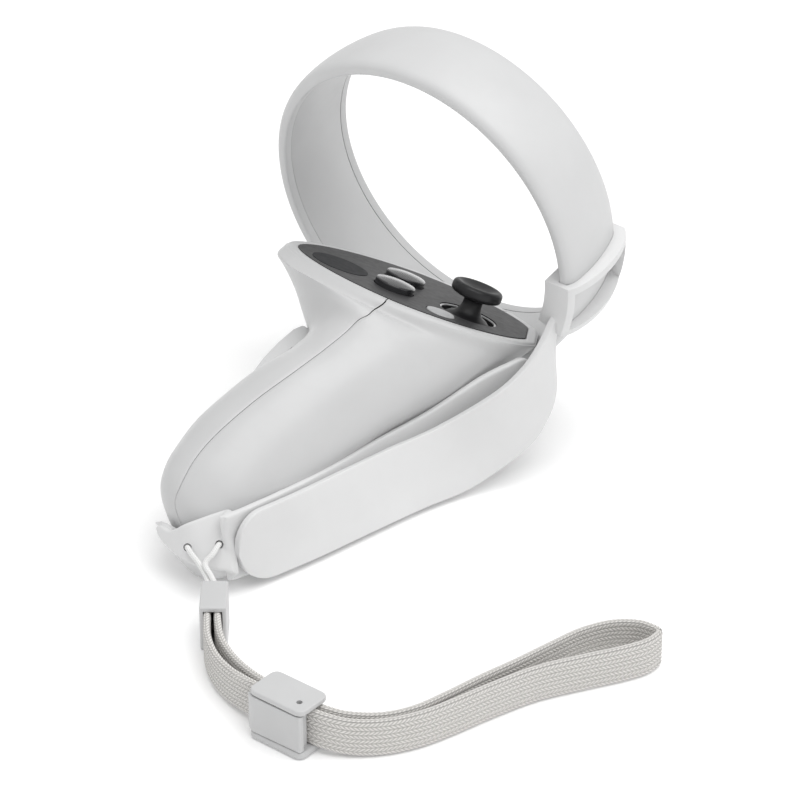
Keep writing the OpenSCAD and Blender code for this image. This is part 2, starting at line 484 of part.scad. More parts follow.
module slider_button() color(pale_grey) at_slider() {
  translate([0, 0, 1.4]) linear_extrude(9.9) {
    translate([-7.4, -5.2]) square([14.2, 1.7]);
    translate([-7.4, -4.35]) circle(r = 0.85);
  }
  translate([-3.6, -3.6, 1.4]) cube([7.2, 7.3, 0.5]);
  translate([-6, 3.25, 1.4]) cube([12, 0.55, 9.9]);
}
module slider_spring() color(steel) at_slider() translate([0, -1.25, 6.2]) along_y() coil(1.6, 0.4, 3, 2);

ring_outer_shell();
ring_inner_liner();
led_flex_strip();
ring_root();
grip_shell();
battery_cover();
faceplate();
thumb_rest();
stick_trim_ring();
faceplate_ledge();
button_membrane();
main_board();
button_a();
button_b();
menu_button();
stick_housing();
stick_yoke();
stick_cross();
stick_shaft();
stick_cap();
trigger();
trigger_pin();
grip_button();
grip_pin();
trigger_spring();
grip_spring();
inner_frame();
battery();
battery_sled();
battery_spring();
battery_contact();
haptic_motor();
shell_screws();
strap_sleeve();
strap_outer_band();
strap_inner_band();
strap_boot();
hook_pad();
lanyard_cord();
lanyard_crimp();
lanyard_near_run();
lanyard_far_run();
slider_frame();
slider_button();
slider_spring();
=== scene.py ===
import bpy, bmesh, math
import numpy as np
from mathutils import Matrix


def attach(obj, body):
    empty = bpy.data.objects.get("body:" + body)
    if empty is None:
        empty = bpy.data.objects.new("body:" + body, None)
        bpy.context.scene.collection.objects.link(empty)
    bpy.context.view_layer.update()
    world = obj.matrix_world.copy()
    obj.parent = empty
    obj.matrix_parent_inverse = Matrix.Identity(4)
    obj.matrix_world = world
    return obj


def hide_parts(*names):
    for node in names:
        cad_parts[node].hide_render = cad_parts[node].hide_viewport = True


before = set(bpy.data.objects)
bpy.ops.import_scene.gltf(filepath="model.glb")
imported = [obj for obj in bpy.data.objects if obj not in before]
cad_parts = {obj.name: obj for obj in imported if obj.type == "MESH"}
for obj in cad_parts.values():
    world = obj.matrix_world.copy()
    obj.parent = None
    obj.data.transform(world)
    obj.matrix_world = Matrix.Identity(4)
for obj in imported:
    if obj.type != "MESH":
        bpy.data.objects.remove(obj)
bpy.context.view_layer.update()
ROOT = "controller"

# ---------- frames, the same as the CAD source's, in millimetres ----------
def turn(axis, deg):
    k = np.array(axis, float) / np.linalg.norm(axis)
    a = math.radians(deg)
    K = np.array([[0, -k[2], k[1]], [k[2], 0, -k[0]], [-k[1], k[0], 0]])
    return np.eye(3) + math.sin(a) * K + (1 - math.cos(a)) * K @ K

X, Y, Z = (1, 0, 0), (0, 1, 0), (0, 0, 1)
PLACE = turn(Z, -11) @ turn(Y, 18) @ turn(X, -18.7)
SHIFT = np.array([18.7, 7.2, 36.8])
TABLE = np.array([18.7, 9.8, 0.0])
RING_C = np.array([-19.7, 5, 16.3])
RING_M = turn(Z, 63.9) @ turn(Y, 53.4)
GRIP_C = np.array([-22.0, -14, -22])
LEAN = np.array([-0.888, 0.46, 0.0]) / np.linalg.norm([-0.888, 0.46, 0])
GRIP_M = turn(LEAN, 44.5)

def in_head(p): return (np.asarray(p, float) @ PLACE.T + SHIFT) / 1000
def in_ring(p): return in_head(np.asarray(p, float) @ RING_M.T + RING_C)
def in_grip(p): return in_head(np.asarray(p, float) @ GRIP_M.T + GRIP_C)
def on_table(p): return (np.asarray(p, float) + TABLE) / 1000
SLIDE_M = turn(Z, -39)
def at_slider(p): return on_table(np.asarray(p, float) @ SLIDE_M.T + np.array([-41.4, -130.6, 0]))
def head_at(x, y, z=0): return lambda p: in_head(np.asarray(p, float) + np.array([x, y, z]))

def cr(p0, p1, p2, p3, t):
    return 0.5 * (2 * p1 + (p2 - p0) * t + (2 * p0 - 5 * p1 + 4 * p2 - p3) * t * t + (3 * p1 - p0 - 3 * p2 + p3) * t ** 3)
def smooth_rows(rows, n):
    r = np.array(rows, float); last = len(r) - 1; out = []
    for i in range(last):
        for k in range(n):
            out.append(cr(r[max(i - 1, 0)], r[i], r[i + 1], r[min(i + 2, last)], k / n))
    out.append(r[last])
    return np.array(out)

# ---------- camera ----------
target = np.array([18.7 - 17, 9.8 - 10.75, 35.5 - 18.62]) / 1000
cam_data = bpy.data.cameras.new("camera")
cam = bpy.data.objects.new("camera", cam_data)
bpy.context.scene.collection.objects.link(cam)
cam.location = target + 0.8 * np.array([0, -math.cos(math.radians(30)), math.sin(math.radians(30))])
cam.rotation_euler = (math.radians(60), 0, 0)
cam_data.sensor_width = 36
cam_data.lens = 144
cam_data.clip_start, cam_data.clip_end = 0.01, 20
bpy.context.scene.camera = cam

# ---------- mesh helpers ----------
def new_object(name, verts, faces, mat=None, sharp=35, body=ROOT, uv=None):
    me = bpy.data.meshes.new(name)
    me.from_pydata([tuple(map(float, v)) for v in verts], [], faces)
    me.validate()
    bm = bmesh.new(); bm.from_mesh(me)
    bmesh.ops.recalc_face_normals(bm, faces=bm.faces)
    bm.to_mesh(me); bm.free()
    o = bpy.data.objects.new(name, me)
    bpy.context.scene.collection.objects.link(o)
    if uv is not None:
        layer = me.uv_layers.new(name="UVMap")
        for l in me.loops: layer.data[l.index].uv = uv[l.vertex_index]
    smooth(me, sharp)
    if mat: me.materials.append(mat)
    if body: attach(o, body)
    return o

def smooth(me, sharp=35):
    for p in me.polygons: p.use_smooth = True
    bm = bmesh.new(); bm.from_mesh(me)
    lim = math.radians(sharp)
    for e in bm.edges:
        e.smooth = not (len(e.link_faces) == 2 and e.calc_face_angle(0) > lim)
    bm.to_mesh(me); bm.free()

def grid_faces(m, n, closed_rows=False, closed_cols=True, cap=False):
    f = []
    for i in range(m if closed_rows else m - 1):
        for j in range(n if closed_cols else n - 1):
            a, b = i % m, (i + 1) % m; c, d = j, (j + 1) % n
            f.append((a * n + c, b * n + c, b * n + d, a * n + d))
    if cap:
        f.append(tuple(range(n))); f.append(tuple((m - 1) * n + j for j in range(n - 1, -1, -1)))
    return f

def skin(name, loops, mat, to=lambda p: p, sharp=35, cap=True, body=ROOT, uv=None):
    m, n = len(loops), len(loops[0])
    v = to(np.array(loops).reshape(-1, 3))
    return new_object(name, v, grid_faces(m, n, cap=cap), mat, sharp, body, uv)

def lathe(name, profile, mat, to, seg=160, start=0, sweep=360, sharp=35, body=ROOT):
    full = sweep >= 360
    n = seg if full else seg + 1
    v = []
    for k in range(n):
        a = math.radians(start + sweep * k / seg)
        v += [(r * math.cos(a), r * math.sin(a), z) for r, z in profile]
    m = len(profile)
    closed = profile[0][0] > 1e-6 or profile[-1][0] > 1e-6
    f = []
    for k in range(seg):
        a, b = k, (k + 1) % n
        for j in range(m if closed else m - 1):
            c, d = j, (j + 1) % m
            f.append((a * m + c, a * m + d, b * m + d, b * m + c))
    if not full:
        f.append(tuple(range(m))); f.append(tuple((n - 1) * m + j for j in range(m - 1, -1, -1)))
    o = new_object(name, to(np.array(v)), f, mat, sharp, None)
    weld(o); smooth(o.data, sharp)
    if body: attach(o, body)
    return o

def weld(o, d=1e-6):
    bm = bmesh.new(); bm.from_mesh(o.data)
    bmesh.ops.remove_doubles(bm, verts=bm.verts, dist=d)
    bmesh.ops.recalc_face_normals(bm, faces=bm.faces)
    bm.to_mesh(o.data); bm.free()

def rounded(profile, r, steps=4):
    """closed outline with its corners rounded by r (one number, or one for each corner)"""
    p = [np.array(q, float) for q in profile]; n = len(p); out = []
    for i in range(n):
        a, b, c = p[i - 1], p[i], p[(i + 1) % n]
        rr = r[i] if hasattr(r, "__len__") else r
        u, w = a - b, c - b
        lu, lw = np.linalg.norm(u), np.linalg.norm(w)
        ang = math.acos(max(-1, min(1, float(u @ w / lu / lw))))
        if rr <= 0 or ang > math.radians(176): out.append(b); continue
        t = min(rr / math.tan(ang / 2), lu * 0.48, lw * 0.48)
        s, e = b + u / lu * t, b + w / lw * t
        for k in range(steps + 1):
            q = k / steps
            out.append(s * (1 - q) ** 2 + b * 2 * q * (1 - q) + e * q * q)
    return np.array(out)

def bevelled(name, o, width, seg=3, angle=30):
    m = o.modifiers.new("bevel", "BEVEL")
    m.width, m.segments, m.limit_method, m.angle_limit = width, seg, "ANGLE", math.radians(angle)
    apply(o); smooth(o.data, 40)

def apply(o):
    dg = bpy.context.evaluated_depsgraph_get()
    me = bpy.data.meshes.new_from_object(o.evaluated_get(dg))
    mats = list(o.data.materials)
    o.modifiers.clear(); o.data = me
    if not me.materials:
        for m in mats: me.materials.append(m)

def prism(name, outline, z0, z1, mat, to, bevel=0.0, seg=3, body=ROOT):
    n = len(outline)
    v = [(x, y, z0) for x, y in outline] + [(x, y, z1) for x, y in outline]
    f = [tuple(range(n - 1, -1, -1)), tuple(range(n, 2 * n))] + [(i, (i + 1) % n, n + (i + 1) % n, n + i) for i in range(n)]
    o = new_object(name, to(np.array(v)), f, mat, 30, None)
    if bevel: bevelled(name, o, bevel / 1000, seg)
    if body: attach(o, body)
    return o

def cut(o, *cutters, mode="DIFFERENCE", self_cut=False):
    for c in cutters:
        m = o.modifiers.new("cut", "BOOLEAN"); m.object = c; m.operation = mode; m.solver = "EXACT"; m.use_self = self_cut
        apply(o)
        bpy.data.objects.remove(c, do_unlink=True)
    smooth(o.data, 35)

# ---------- materials ----------
def node_mat(name, base, rough, metallic=0.0, coat=0.0, coat_rough=0.1, sheen=0.0, spec=0.5, sss=0.0):
    m = bpy.data.materials.new(name); m.use_nodes = True
    nt = m.node_tree; b = nt.nodes["Principled BSDF"]
    b.inputs["Base Color"].default_value = (*base, 1)
    b.inputs["Roughness"].default_value = rough
    b.inputs["Metallic"].default_value = metallic
    b.inputs["Coat Weight"].default_value = coat
    b.inputs["Coat Roughness"].default_value = coat_rough
    b.inputs["Sheen Weight"].default_value = sheen
    b.inputs["Specular IOR Level"].default_value = spec
    b.inputs["Subsurface Weight"].default_value = sss
    b.inputs["Subsurface Radius"].default_value = (0.003, 0.003, 0.003)
    b.inputs["Subsurface Scale"].default_value = 0.4
    return m, nt, b

def add(nt, kind, **kw):
    n = nt.nodes.new(kind)
    for k, v in kw.items():
        if k in n.inputs: n.inputs[k].default_value = v
        else: setattr(n, k, v)
    return n

def noise(nt, scale, detail=4.0, rough=0.6, coords="Object"):
    tc = add(nt, "ShaderNodeTexCoord")
    n = add(nt, "ShaderNodeTexNoise", Scale=scale, Detail=detail, Roughness=rough)
    nt.links.new(tc.outputs[coords], n.inputs["Vector"])
    return n

def ramp(nt, src, a, b, lo=0.3, hi=0.7):
    r = add(nt, "ShaderNodeValToRGB")
    r.color_ramp.elements[0].position, r.color_ramp.elements[1].position = lo, hi
    r.color_ramp.elements[0].color = (*a, 1) if hasattr(a, "__len__") else (a, a, a, 1)
    r.color_ramp.elements[1].color = (*b, 1) if hasattr(b, "__len__") else (b, b, b, 1)
    nt.links.new(src, r.inputs[0])
    return r.outputs[0]

def moulded(name, base, rough, tone=0.03, grain=3500, grain_h=0.004, sweep=60, **kw):
    """moulded plastic or silicone: faint blotches of tone, grain in the surface, uneven gloss"""
    m, nt, b = node_mat(name, base, rough, **kw)
    lo = tuple(max(0, c * (1 - tone)) for c in base); hi = tuple(min(1, c * (1 + tone)) for c in base)
    nt.links.new(ramp(nt, noise(nt, sweep).outputs["Fac"], lo, hi), b.inputs["Base Color"])
    nt.links.new(ramp(nt, noise(nt, sweep * 9, 6).outputs["Fac"], rough - 0.05, rough + 0.06), b.inputs["Roughness"])
    bump = add(nt, "ShaderNodeBump", Strength=0.35, Distance=grain_h / 1000)
    nt.links.new(noise(nt, grain, 3, 0.7).outputs["Fac"], bump.inputs["Height"])
    nt.links.new(bump.outputs[0], b.inputs["Normal"])
    return m

def math_node(nt, op, a, b=None, c=None):
    n = add(nt, "ShaderNodeMath", operation=op)
    for i, v in enumerate((a, b, c)):
        if v is None: continue
        if isinstance(v, (int, float)): n.inputs[i].default_value = v
        else: nt.links.new(v, n.inputs[i])
    return n.outputs[0]

def braid(name, light, dark, pitch=1.15, ridge=1.15, height=0.16):
    """flat braided tape: lengthwise ridges, each crossed by slanting stitches that lean the other way on the next ridge"""
    m, nt, b = node_mat(name, light, 0.82, sheen=0.35, spec=0.25)
    uv = add(nt, "ShaderNodeUVMap", uv_map="UVMap")
    sep = add(nt, "ShaderNodeSeparateXYZ"); nt.links.new(uv.outputs[0], sep.inputs[0])
    u, v = sep.outputs[0], sep.outputs[1]
    wob = noise(nt, 900, 2)
    v2 = math_node(nt, "MULTIPLY", v, 1 / ridge)
    tri = math_node(nt, "PINGPONG", v2, 0.5)                     # 0 at the ridge's edge, 0.5 in its middle
    zig = math_node(nt, "PINGPONG", math_node(nt, "MULTIPLY", v2, 1.0), 1.0)
    lean = math_node(nt, "MULTIPLY", zig, 1.3)
    phase = math_node(nt, "ADD", math_node(nt, "MULTIPLY", u, 1 / pitch), lean)
    phase = math_node(nt, "ADD", phase, math_node(nt, "MULTIPLY", wob.outputs["Fac"], 0.25))
    st = math_node(nt, "PINGPONG", phase, 0.5)
    stitch = math_node(nt, "SMOOTH_MIN", math_node(nt, "MULTIPLY", st, 2.6), 1.0, 0.4)
    rid = math_node(nt, "SMOOTH_MIN", math_node(nt, "MULTIPLY", tri, 4.5), 1.0, 0.4)
    h = math_node(nt, "MULTIPLY", stitch, rid)
    yarn = noise(nt, 6000, 3)
    h2 = math_node(nt, "ADD", h, math_node(nt, "MULTIPLY", yarn.outputs["Fac"], 0.25))
    # colour runs from light on the stitch tops to dark in the grooves between ridges and stitches: the dark end is
    # painted shade in the weave, with a little random yarn tone mixed in
    nt.links.new(ramp(nt, h2, dark, light, 0.12, 0.95), b.inputs["Base Color"])
    bump = add(nt, "ShaderNodeBump", Strength=0.9, Distance=height / 1000)
    nt.links.new(h2, bump.inputs["Height"]); nt.links.new(bump.outputs[0], b.inputs["Normal"])
    return m

WHITE = moulded("white_shell", (0.57, 0.572, 0.574), 0.36, 0.02, spec=0.45)
RINGW = moulded("white_ring", (0.60, 0.602, 0.604), 0.40, 0.02, spec=0.42)
SILICONE = moulded("silicone", (0.69, 0.691, 0.692), 0.52, 0.02, grain=2200, grain_h=0.006, sheen=0.15, spec=0.35)
PLATE = moulded("plate_grey", (0.05, 0.05, 0.051), 0.5, 0.05, grain=5000, grain_h=0.006, spec=0.42)
THUMB = moulded("thumb_dark", (0.028, 0.029, 0.031), 0.62, 0.06, grain=3000, grain_h=0.02, spec=0.2)
RUBBER = moulded("stick_rubber", (0.011, 0.011, 0.012), 0.42, 0.15, grain=2600, grain_h=0.012, spec=0.5)
GLOSS = moulded("button_gloss", (0.02, 0.02, 0.022), 0.2, 0.1, grain=1500, grain_h=0.002, coat=0.7, coat_rough=0.08)
TRIM = moulded("trim_bright", (0.74, 0.745, 0.75), 0.22, 0.02, spec=0.6)
PALE = moulded("pale_plastic", (0.47, 0.475, 0.48), 0.38, 0.03, spec=0.45)
CLIP = moulded("clip_plastic", (0.56, 0.562, 0.564), 0.42, 0.03, spec=0.4)
BLACK = moulded("inner_black", (0.02, 0.02, 0.022), 0.5, 0.1)
STEEL = moulded("steel", (0.55, 0.56, 0.58), 0.3, 0.08, sweep=300, metallic=1.0)
BOARD = moulded("board_green", (0.02, 0.10, 0.05), 0.4, 0.15, sweep=200)
CELL = moulded("cell_skin", (0.25, 0.26, 0.28), 0.3, 0.08, metallic=0.6)
HOOK = moulded("hook_pile", (0.62, 0.62, 0.62), 0.85, 0.08, grain=1800, grain_h=0.2, sheen=0.4)
# the second colour of each braid is the painted shade of its grooves
BRAID = braid("braid", (0.77, 0.75, 0.725), (0.44, 0.43, 0.41), pitch=1.0)
CORDW = braid("cord_braid", (0.86, 0.86, 0.855), (0.66, 0.66, 0.65), pitch=0.6, ridge=0.5, height=0.03)

by_node = {
    "ring_root": WHITE, "faceplate_ledge": WHITE, "faceplate": PLATE, "thumb_rest": THUMB,
    "button_membrane": PALE, "main_board": BOARD, "led_flex_strip": BOARD, "stick_housing": BLACK, "stick_yoke": STEEL,
    "stick_cross": BLACK, "trigger_pin": STEEL, "grip_pin": STEEL, "trigger_spring": STEEL, "grip_spring": STEEL,
    "inner_frame": BLACK, "battery": CELL, "battery_sled": BLACK, "battery_spring": STEEL, "battery_contact": STEEL,
    "haptic_motor": STEEL, "shell_screws": STEEL, "hook_pad": HOOK, "slider_spring": STEEL}
for node, m in by_node.items():
    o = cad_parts[node]
    o.data.materials.clear(); o.data.materials.append(m)

# ---------- lanyard: the cords come first ----------
NEAR = [[-61, -90, 5.7], [-61, -97, 5.7], [-60.5, -104, 5.3], [-58.4, -111, 5], [-54.8, -117.6, 5.4], [-50, -123.4, 6.2],
  [-44.6, -128.2, 6.7], [-39.4, -132.4, 6.7], [-34.4, -135.6, 6.2], [-28, -137, 5.2], [-20.5, -136.4, 4.8], [-12.6, -133.6, 4.8],
  [-5, -128.8, 4.8], [3, -123, 4.8], [13.5, -116.3, 4.8], [24.5, -111.8, 4.8], [33, -108.6, 4.8], [38.6, -105.8, 4.8],
  [41.4, -102.8, 4.8]]
FAR = [[-58.6, -90, 5.7], [-58.6, -97, 5.7], [-57.6, -104, 5.3], [-55.4, -109.8, 5], [-52.4, -115.6, 5.4], [-48.4, -121.6, 6.2],
  [-43.4, -126.6, 6.7], [-38.1, -130.9, 6.7], [-33.2, -133.6, 6.2], [-28, -134.4, 5.2], [-20.8, -134.1, 4.8], [-13.6, -131.4, 4.8],
  [-6.4, -126, 4.8], [1, -119.8, 4.8], [9, -113.6, 4.8], [17.4, -106.6, 4.8], [24, -101.4, 4.8], [31, -98.2, 4.8],
  [37.4, -98.2, 4.8], [41.2, -100.6, 4.8]]
TAPE_W, TAPE_T = 9.4, 1.7

def tape(name, route, node, extra):
    pts = smooth_rows(route, 10)
    if extra: pts = np.vstack([pts, extra])
    # section: two ridged faces joined by rounded edges
    h, e, ridges, per = TAPE_W / 2, TAPE_T / 2, 8, 6
    sec = []
    n = ridges * per
    for k in range(n + 1):
        z = h - 0.45 - (TAPE_W - 0.9) * k / n
        sec.append((e - 0.14 + 0.14 * abs(math.sin(math.pi * k / per)), z))
    for a in (-25, -60, -90, -120, -155):
        sec.append(((e - 0.14) * math.cos(math.radians(a)) , -h + 0.45 + 0.45 * math.sin(math.radians(a))))
    sec += [(-x, -z) for x, z in sec]
    per_len = [0.0]
    for i in range(1, len(sec)): per_len.append(per_len[-1] + math.dist(sec[i], sec[i - 1]))
    loops, uv = [], []
    along = 0.0
    for i, p in enumerate(pts):
        d = pts[min(i + 1, len(pts) - 1)] - pts[max(i - 1, 0)]
        f = np.array([d[1], -d[0], 0]) / math.hypot(d[0], d[1])
        if i: along += float(np.linalg.norm(p - pts[i - 1]))
        loops.append([p + f * x + np.array([0, 0, z]) for x, z in sec])
        uv += [(along, s) for s in per_len]
    o = skin(name, loops, BRAID, on_table, 60, uv=uv)
    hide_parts(node)
    return o

near = tape("tape_near", NEAR, "lanyard_near_run", [[41.75, -101.9, 4.8]])
far = tape("tape_far", FAR, "lanyard_far_run", [[41.75, -101.6, 4.8]])

CORD = [[-60.6, -87.6, 8], [-60.6, -84.4, 8.1], [-61.9, -79.5, 8.6], [-63.9, -75.3, 9.9], [-65.6, -73.6, 11.3],
  [-66.6, -72.2, 12.2], [-66.8, -70.9, 11.7], [-66.8, -69.4, 10.85], [-66.5, -68.3, 10.3], [-65.2, -68.3, 10.4], [-61, -69.4, 11.5],
  [-59.5, -69.9, 12.05], [-59.3, -70.4, 12.3], [-59.3, -71.6, 12.95], [-59.5, -72.9, 13.5], [-60.6, -75, 12.6],
  [-62.4, -76.6, 10.8], [-60.9, -80, 9.6], [-59, -84.4, 8.1], [-59, -87.6, 8]]
def tube(name, route, d, mat, n=6, sides=16):
    pts = smooth_rows(route, n); loops, uv, along = [], [], 0.0
    ref = np.array([0, 0, 1.0])
    for i, p in enumerate(pts):
        t = pts[min(i + 1, len(pts) - 1)] - pts[max(i - 1, 0)]; t /= np.linalg.norm(t)
        f = np.cross(t, ref); f /= np.linalg.norm(f); g = np.cross(t, f); ref = np.cross(f, t)
        if i: along += float(np.linalg.norm(p - pts[i - 1]))
        loops.append([p + (f * math.cos(a) + g * math.sin(a)) * d / 2 for a in np.arange(sides) * 2 * math.pi / sides])
        uv += [(along, k * math.pi * d / sides) for k in range(sides)]
    return skin(name, loops, mat, on_table, 60, uv=uv), on_table(pts)
thin, thin_path = tube("thin_cord", CORD, 1.3, CORDW)
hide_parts("lanyard_cord")

# crimp: a folded sleeve of plastic with an open mouth, and the slider with its button
def box_outline(x0, x1, y0, y1): return [(x0, y0), (x1, y0), (x1, y1), (x0, y1)]
crimp = prism("crimp", rounded(box_outline(-62.8, -56.6, -96.4, -84.8), 0.5), 0, 11.6, CLIP, on_table, 0.35, 4)
cut(crimp, prism("c1", rounded(box_outline(-61.95, -57.5, -97.5, -86.1), 0.3), 0.95, 10.55, CLIP, on_table, body=None))
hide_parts("lanyard_crimp")
plate = rounded(box_outline(-7.75, 7.75, -5.1, 4.8), 2.2, 8)
slider = prism("slider_body", plate, 0, 1.75, CLIP, at_slider, 0.5, 5)
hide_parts("slider_frame")
top = prism("slider_top", rounded(box_outline(-7.75, 7.75, -4.8, 4.8), 2.2, 8), 11.3, 12.7, CLIP, at_slider, 0.4, 5)
cut(top, prism("c2", [(4.6 + 0.7 * math.cos(a), -1.6 + 0.7 * math.sin(a)) for a in np.arange(24) * math.pi / 12], 10, 14, CLIP, at_slider, body=None))
for i, x in enumerate((-6.2, 4.8)): prism("slider_post%d" % i, rounded(box_outline(x, x + 1.4, -2.3, -1.1), 0.2), 1, 11.7, CLIP, at_slider)
button = prism("slider_push", rounded([(-8.0, -3.5), (-8.25, -4.0), (-6.4, -5.1), (7.3, -4.8), (7.3, -3.5)], [0.2, 0.9, 2.4, 1.2, 0.1], 8), 1.95, 11.1, CLIP, at_slider, 0.35, 4, body="slider_button")
jaw = prism("slider_jaw", rounded(box_outline(-6, 6, 3.25, 3.8), 0.2), 1.95, 11.1, CLIP, at_slider, body="slider_button")
link = prism("slider_link", rounded(box_outline(-3.6, 3.6, -3.6, 3.7), 0.3), 1.8, 2.2, CLIP, at_slider, body="slider_button")
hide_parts("slider_button")

# ---------- body shells ----------
BODY = [
  [-2.1, 0.1, 29.9, -44.5, 34.2, 25.3, 1, 2.7, 0, -102.5],
  [-1.95, 0.8, 28.9, -44.5, 34.55, 25.6, 1, 2.8, 0, -102.5],
  [-2.45, 2, 24.7, -40, 33.45, 24.6, 0.9, 1.8, 0, -101.5],
  [-1.25, 2, 17.9, -26, 29.15, 22.8, 0.6, 1.8, 0, -101.5],
  [0.55, 1.3, 10.3, -12, 23.25, 21.2, 0.3, 1.8, 0, -106.5],
  [2.38, 0, 3, -3, 17.52, 20, 0, 1.8, 0, -120.5],
  [0.87, -1, -7, 0, 15.73, 19, 0, 1.8, 0, -122],
  [-1.33, -1.4, -17, 0, 16.13, 18.4, 0, 1.8, 0, -118.5],
  [-2.69, -1.6, -28, 0, 16.29, 17.3, 0, 1.8, 0, -121.5],
  [-3.37, -1.7, -37.5, 0, 16.27, 16.2, 0, 1.8, 0, -124],
  [-3.37, -2.1, -45, 0, 15.57, 14.8, 0, 1.8, 0, -128],
  [-2.89, -3, -51, 0, 14.89, 12.4, 0, 1.8, 0, -130],
  [-1.83, -3.8, -56.5, 0, 13.33, 9.3, 0, 1.8, 0.4, -133.5],
  [-0.2, -3.8, -60, 0, 10.6, 7.2, 0, 1.8, 0.8, -145.5],
  [1.6, -2.9, -62.4, 0, 6.4, 5.4, 0, 1.8, 1.2, -145.5],
  [2.6, -2.5, -63.3, 0, 2.4, 2.2, 0, 1.4, 1.4, -145.5]]
FAR_SEAM = 45
PLATE_N = GRIP_M.T @ np.array([0, 0, 1.0])
def bend(x, e): return math.copysign(abs(x) ** e, x)
def lobe(a, b, pinch, u):
    c, s = math.cos(math.radians(u)), math.sin(math.radians(u))
    e = 1 + 0.16 * pinch if c < 0 else 1
    return np.array([min(a * bend(c, e), a * (1 - 0.05 * pinch)), b * bend(s, e), 0])
def body_point(row, u, inset, lift=0.0):
    a, b = max(row[4] - inset, 0.4), max(row[5] - inset, 0.4)
    return np.array([row[0], row[1], row[2] + lift]) + turn(LEAN, row[3]) @ lobe(a, b, row[6], u)
def half_shell(name, near_side):
    steps, loops = 96, []
    rows = smooth_rows(BODY, 8)
    # outer inset, inner inset and height of the rounded lip round the faceplate
    lip = [(1.1, 1.9, 0.0), (0.6, 2.3, -0.02), (0.28, 2.6, -0.12), (0.1, 2.75, -0.3), (0.02, 2.8, -0.55)]
    def loop(row, o_in, i_in, h, lift):
        a = row[9] + 0.35 if near_side else FAR_SEAM + 0.35
        b = FAR_SEAM - 0.35 if near_side else row[9] + 360 - 0.35
        us = [a + (b - a) * k / steps for k in range(steps + 1)]
        out = [body_point(row, u, o_in + (0.22 if k in (0, steps) else 0)) + PLATE_N * h for k, u in enumerate(us)]
        inn = [body_point(row, u, i_in, lift) + PLATE_N * h for u in us]
        return out[::-1] + inn
    for o_in, i_in, h in lip: loops.append(loop(rows[0], o_in, i_in, h, 0))
    for r in rows[6:]:
        loops.append(loop(r, 0, r[7], 0, r[8]))
    return skin(name, loops, WHITE, in_grip, 32)
near_shell = half_shell("near_shell", True)
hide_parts("battery_cover")
far_shell = half_shell("far_shell", False)
TRIG_W, TRIG_MID, TRIG_P, GRIP_P, GRIP_FROM, GRIP_SWEEP = 18, 1.5, (15, 16), (12.5, 1.5), 125, 38
cut(far_shell,
    prism("c3", box_outline(TRIG_MID - TRIG_W / 2 - 0.4, TRIG_MID + TRIG_W / 2 + 0.4, 10, 40), -2.5, 20.5, WHITE, in_grip, body=None),
    lathe("c4", [(10, -17.8), (30, -17.8), (30, 4.6), (10, 4.6)], WHITE, lambda p: in_grip(p + np.array([0, -1, 0])), 24, GRIP_FROM - 2, GRIP_SWEEP + 4, body=None), self_cut=True)
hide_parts("grip_shell")

# ---------- trigger and grip button ----------
TRIG = [(11.8, 15), (12.4, 18.2), (15, 19.4), (18.6, 18.8), (22.4, 17), (25, 13.4), (26.3, 8.6),
  (26.8, 4), (27.4, 0.4), (28.2, -2.2), (27.7, -3.5), (26, -3.2), (24.2, -0.6), (22.6, 3), (19.4, 9), (15.4, 12.4)]
def closed_curve(p, n):
    p = np.array(p, float); m = len(p); out = []
    for i in range(m):
        for k in range(n): out.append(cr(p[i - 1], p[i], p[(i + 1) % m], p[(i + 2) % m], k / n))
    return np.array(out)
TO_TRIG = lambda p: in_grip(np.stack([p[:, 2] + TRIG_MID, p[:, 0], p[:, 1]], 1))
trig = prism("trigger_blade", closed_curve(TRIG, 4), -TRIG_W / 2, TRIG_W / 2, WHITE, TO_TRIG, 1.4, 5, body="trigger")
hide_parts("trigger")
GB = [(14.4, -17.2), (18.2, -17.2), (19.1, -15), (19.7, -10), (19.7, -4), (19.1, 1.6), (18, 4), (10.6, 4), (10.6, -0.6), (13, -1), (16.2, -3)]
grip = lathe("grip_pad", [tuple(q) for q in rounded(GB, [0.2, 1.2, 2, 3, 3, 2, 1, 0.2, 0.2, 0.2, 0.2], 4)], WHITE,
             lambda p: in_grip(p + np.array([0, -1, 0])), 48, GRIP_FROM, GRIP_SWEEP, body=None)
bevelled("grip_pad", grip, 0.0008, 4, 40)
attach(grip, "grip_button"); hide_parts("grip_button")

# ---------- tracking ring ----------
BORE, RW, EDGE, CROWN, TAPER, DROP = 42.4, 24, 3.2, 1.5, 1.4, 1.9 * 1.4
def ring_inside(z): return BORE - TAPER * z / RW
def ring_outside(off, n=24): return [(BORE + EDGE + off + CROWN * (1 - s * s) - 0.9 * abs(s) ** 10 - DROP * (s + 1) / 2,
    RW / 2 + s * (RW / 2 + off)) for s in (k / (n / 2) - 1 for k in range(n + 1))]
band = [(ring_inside(0.5), 0.5), (ring_inside(0) + 0.12, 0.15), (ring_inside(0) + 0.5, 0.0), (BORE + EDGE - 1.5, 0.0), (BORE + EDGE - 1.12, 0.06)] + ring_outside(0)[1:-1] + \
    [(BORE + EDGE - DROP - 1.12, RW - 0.06), (BORE + EDGE - DROP - 1.5, RW), (ring_inside(RW) + 0.5, RW), (ring_inside(RW) + 0.12, RW - 0.15), (ring_inside(RW - 0.5), RW - 0.5),
     (ring_inside(RW - 2.3), RW - 2.3), (ring_inside(RW - 2.3) + 0.5, RW - 2.3), (ring_inside(2.3) + 0.5, 2.3), (ring_inside(2.3), 2.3)]
ring = lathe("ring_band", band, RINGW, in_ring, 288, sharp=50)
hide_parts("ring_outer_shell")
